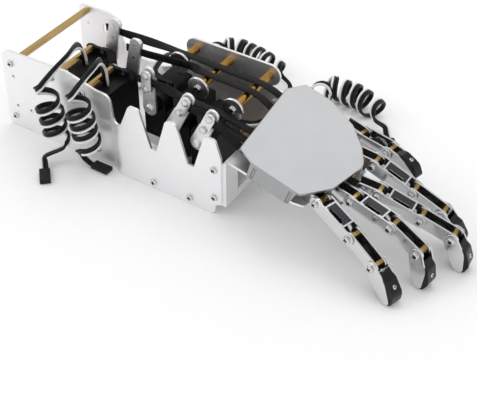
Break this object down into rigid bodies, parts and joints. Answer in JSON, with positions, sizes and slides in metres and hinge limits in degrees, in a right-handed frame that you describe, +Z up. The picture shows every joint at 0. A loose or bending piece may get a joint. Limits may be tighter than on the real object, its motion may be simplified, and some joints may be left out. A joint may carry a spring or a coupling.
{
  "type": "dexterous robot hand",
  "caption": "Five-fingered tendon-driven robot hand on a sheet-metal forearm box with servos, guide rollers, flat straps, hinged fingers and coiled leads",
  "frame": {"origin": "on the underside of the base plate, 6 mm ahead of the side plates' rear edge, between the two side plates", "axes": "+X from the forearm's rear to the fingertips, +Y towards the thumb side, +Z up out of the back of the hand"},
  "size_m": [0.3862, 0.2359, 0.0914],
  "materials": {
    "satin_aluminium": "satin, lightly brushed sheet",
    "finger_aluminium": "satin, lightly polished sheet",
    "brass": "machined, satin",
    "screw_steel": "zinc plated, bright",
    "servo_plastic": "moulded, fine texture",
    "horn_steel": "bead blasted",
    "nylon_strap": "ribbed nylon",
    "tip_rubber": "smooth moulded",
    "lead_insulation": "soft insulation",
    "plug_plastic": "moulded"
  },
  "bodies": {
    "forearm": {"near_side_plate": "satin_aluminium", "far_side_plate": "satin_aluminium", "base_plate": "satin_aluminium", "far_guide_plate": "satin_aluminium", "guide_rollers": "brass", "palm_base": "satin_aluminium", "palm_cover": "satin_aluminium", "knuckle_brackets": "finger_aluminium", "brass_standoffs": "brass", "frame_screws": "screw_steel", "servo_little": "servo_plastic", "servo_ring": "servo_plastic", "servo_middle": "servo_plastic", "servo_index": "servo_plastic", "servo_thumb": "servo_plastic", "strap_little": "nylon_strap", "strap_ring": "nylon_strap", "strap_middle": "nylon_strap", "strap_index": "nylon_strap", "strap_thumb": "nylon_strap", "lead_thumb": "lead_insulation", "lead_index": "lead_insulation", "lead_middle": "lead_insulation", "lead_little": "lead_insulation", "lead_plugs": "plug_plastic"},
    "little_proximal": {"little_proximal_link": "finger_aluminium"},
    "little_middle": {"little_middle_link": "finger_aluminium", "little_hinge_set": "brass"},
    "little_tip": {"little_tip_plates": "finger_aluminium", "little_tip_pad": "tip_rubber"},
    "horn_body_little": {"horn_little": "horn_steel", "clamp_little": "horn_steel"},
    "ring_proximal": {"ring_proximal_link": "finger_aluminium"},
    "ring_middle": {"ring_middle_link": "finger_aluminium", "ring_hinge_set": "brass"},
    "ring_tip": {"ring_tip_plates": "finger_aluminium", "ring_tip_pad": "tip_rubber"},
    "horn_body_ring": {"horn_ring": "horn_steel", "clamp_ring": "horn_steel"},
    "middle_proximal": {"middle_proximal_link": "finger_aluminium"},
    "middle_middle": {"middle_middle_link": "finger_aluminium", "middle_hinge_set": "brass"},
    "middle_tip": {"middle_tip_plates": "finger_aluminium", "middle_tip_pad": "tip_rubber"},
    "horn_body_middle": {"horn_middle": "horn_steel", "clamp_middle": "horn_steel"},
    "index_proximal": {"index_proximal_link": "finger_aluminium"},
    "index_middle": {"index_middle_link": "finger_aluminium", "index_hinge_set": "brass"},
    "index_tip": {"index_tip_plates": "finger_aluminium", "index_tip_pad": "tip_rubber"},
    "horn_body_index": {"horn_index": "horn_steel", "clamp_index": "horn_steel"},
    "thumb_proximal": {"thumb_link": "finger_aluminium"},
    "thumb_tip": {"thumb_tip_plates": "finger_aluminium", "thumb_tip_pad": "tip_rubber", "thumb_hinge_set": "brass"},
    "horn_body_thumb": {"horn_thumb": "horn_steel", "clamp_thumb": "horn_steel"}
  },
  "joints": [
    {"name": "little_knuckle_joint", "type": "hinge", "parent": "forearm", "child": "little_proximal", "pos_m": [0.279, -0.032, 0.0438], "axis": [0.2689, 0.9622, -0.0428], "range_deg": [-6, 60], "deforming": ["strap_little"]},
    {"name": "little_middle_joint", "type": "hinge", "parent": "little_proximal", "child": "little_middle", "pos_m": [0.3094, -0.04098, 0.03296], "axis": [0.2689, 0.9622, -0.0428], "range_deg": [-6, 60]},
    {"name": "little_tip_joint", "type": "hinge", "parent": "little_middle", "child": "little_tip", "pos_m": [0.33136, -0.04758, 0.02251], "axis": [0.2689, 0.9622, -0.0428], "range_deg": [-4.8, 48]},
    {"name": "little_horn_joint", "type": "hinge", "parent": "forearm", "child": "horn_body_little", "pos_m": [0.176, -0.03, 0.051], "axis": [0, 1, 0], "range_deg": [-23.5, 2.4]},
    {"name": "ring_knuckle_joint", "type": "hinge", "parent": "forearm", "child": "ring_proximal", "pos_m": [0.297, -0.017, 0.0435], "axis": [0.1374, 0.9903, -0.0219], "range_deg": [-6, 48], "deforming": ["strap_ring"]},
    {"name": "ring_middle_joint", "type": "hinge", "parent": "ring_proximal", "child": "ring_middle", "pos_m": [0.32974, -0.02166, 0.03817], "axis": [0.1374, 0.9903, -0.0219], "range_deg": [-6, 48]},
    {"name": "ring_tip_joint", "type": "hinge", "parent": "ring_middle", "child": "ring_tip", "pos_m": [0.35249, -0.02505, 0.02786], "axis": [0.1374, 0.9903, -0.0219], "range_deg": [-4.8, 38.4]},
    {"name": "ring_horn_joint", "type": "hinge", "parent": "forearm", "child": "horn_body_ring", "pos_m": [0.149, -0.022, 0.051], "axis": [0, 1, 0], "range_deg": [-18.8, 2.4]},
    {"name": "middle_knuckle_joint", "type": "hinge", "parent": "forearm", "child": "middle_proximal", "pos_m": [0.309, -0.0025, 0.0442], "axis": [-0.0861, 0.9962, 0.0137], "range_deg": [-6, 48], "deforming": ["strap_middle"]},
    {"name": "middle_middle_joint", "type": "hinge", "parent": "middle_proximal", "child": "middle_middle", "pos_m": [0.34085, 0.00039, 0.03424], "axis": [-0.0861, 0.9962, 0.0137], "range_deg": [-6, 48]},
    {"name": "middle_tip_joint", "type": "hinge", "parent": "middle_middle", "child": "middle_tip", "pos_m": [0.36475, 0.00256, 0.02653], "axis": [-0.0861, 0.9962, 0.0137], "range_deg": [-4.8, 38.4]},
    {"name": "middle_horn_joint", "type": "hinge", "parent": "forearm", "child": "horn_body_middle", "pos_m": [0.122, -0.014, 0.051], "axis": [0, 1, 0], "range_deg": [-18.8, 2.4]},
    {"name": "index_knuckle_joint", "type": "hinge", "parent": "forearm", "child": "index_proximal", "pos_m": [0.295, 0.018, 0.0505], "axis": [-0.0086, 1, 0.0014], "range_deg": [-6, 60], "deforming": ["strap_index"]},
    {"name": "index_middle_joint", "type": "hinge", "parent": "index_proximal", "child": "index_middle", "pos_m": [0.32614, 0.01828, 0.03815], "axis": [-0.0086, 1, 0.0014], "range_deg": [-6, 60]},
    {"name": "index_tip_joint", "type": "hinge", "parent": "index_middle", "child": "index_tip", "pos_m": [0.34948, 0.0185, 0.02865], "axis": [-0.0086, 1, 0.0014], "range_deg": [-4.8, 48]},
    {"name": "index_horn_joint", "type": "hinge", "parent": "forearm", "child": "horn_body_index", "pos_m": [0.08, 0.0165, 0.046], "axis": [0, 1, 0], "range_deg": [-23.5, 2.4]},
    {"name": "thumb_base_joint", "type": "hinge", "parent": "forearm", "child": "thumb_proximal", "pos_m": [0.269, 0.0475, 0.0454], "axis": [0.2222, 0.9744, -0.0353], "range_deg": [-6, 60], "deforming": ["strap_thumb"]},
    {"name": "thumb_tip_joint", "type": "hinge", "parent": "thumb_proximal", "child": "thumb_tip", "pos_m": [0.29533, 0.0415, 0.04549], "axis": [0.2222, 0.9744, -0.0353], "range_deg": [-6, 60]},
    {"name": "thumb_horn_joint", "type": "hinge", "parent": "forearm", "child": "horn_body_thumb", "pos_m": [0.05, 0.029, 0.048], "axis": [0, 1, 0], "range_deg": [-23.5, 2.4]}
  ],
  "couplings": [
    {"joint": "little_middle_joint", "follows": "little_knuckle_joint", "ratio": 1},
    {"joint": "little_tip_joint", "follows": "little_knuckle_joint", "ratio": 0.8},
    {"joint": "little_horn_joint", "follows": "little_knuckle_joint", "ratio": -0.39},
    {"joint": "ring_middle_joint", "follows": "ring_knuckle_joint", "ratio": 1},
    {"joint": "ring_tip_joint", "follows": "ring_knuckle_joint", "ratio": 0.8},
    {"joint": "ring_horn_joint", "follows": "ring_knuckle_joint", "ratio": -0.39},
    {"joint": "middle_middle_joint", "follows": "middle_knuckle_joint", "ratio": 1},
    {"joint": "middle_tip_joint", "follows": "middle_knuckle_joint", "ratio": 0.8},
    {"joint": "middle_horn_joint", "follows": "middle_knuckle_joint", "ratio": -0.39},
    {"joint": "index_middle_joint", "follows": "index_knuckle_joint", "ratio": 1},
    {"joint": "index_tip_joint", "follows": "index_knuckle_joint", "ratio": 0.8},
    {"joint": "index_horn_joint", "follows": "index_knuckle_joint", "ratio": -0.39},
    {"joint": "thumb_tip_joint", "follows": "thumb_base_joint", "ratio": 1},
    {"joint": "thumb_horn_joint", "follows": "thumb_base_joint", "ratio": -0.39}
  ]
}
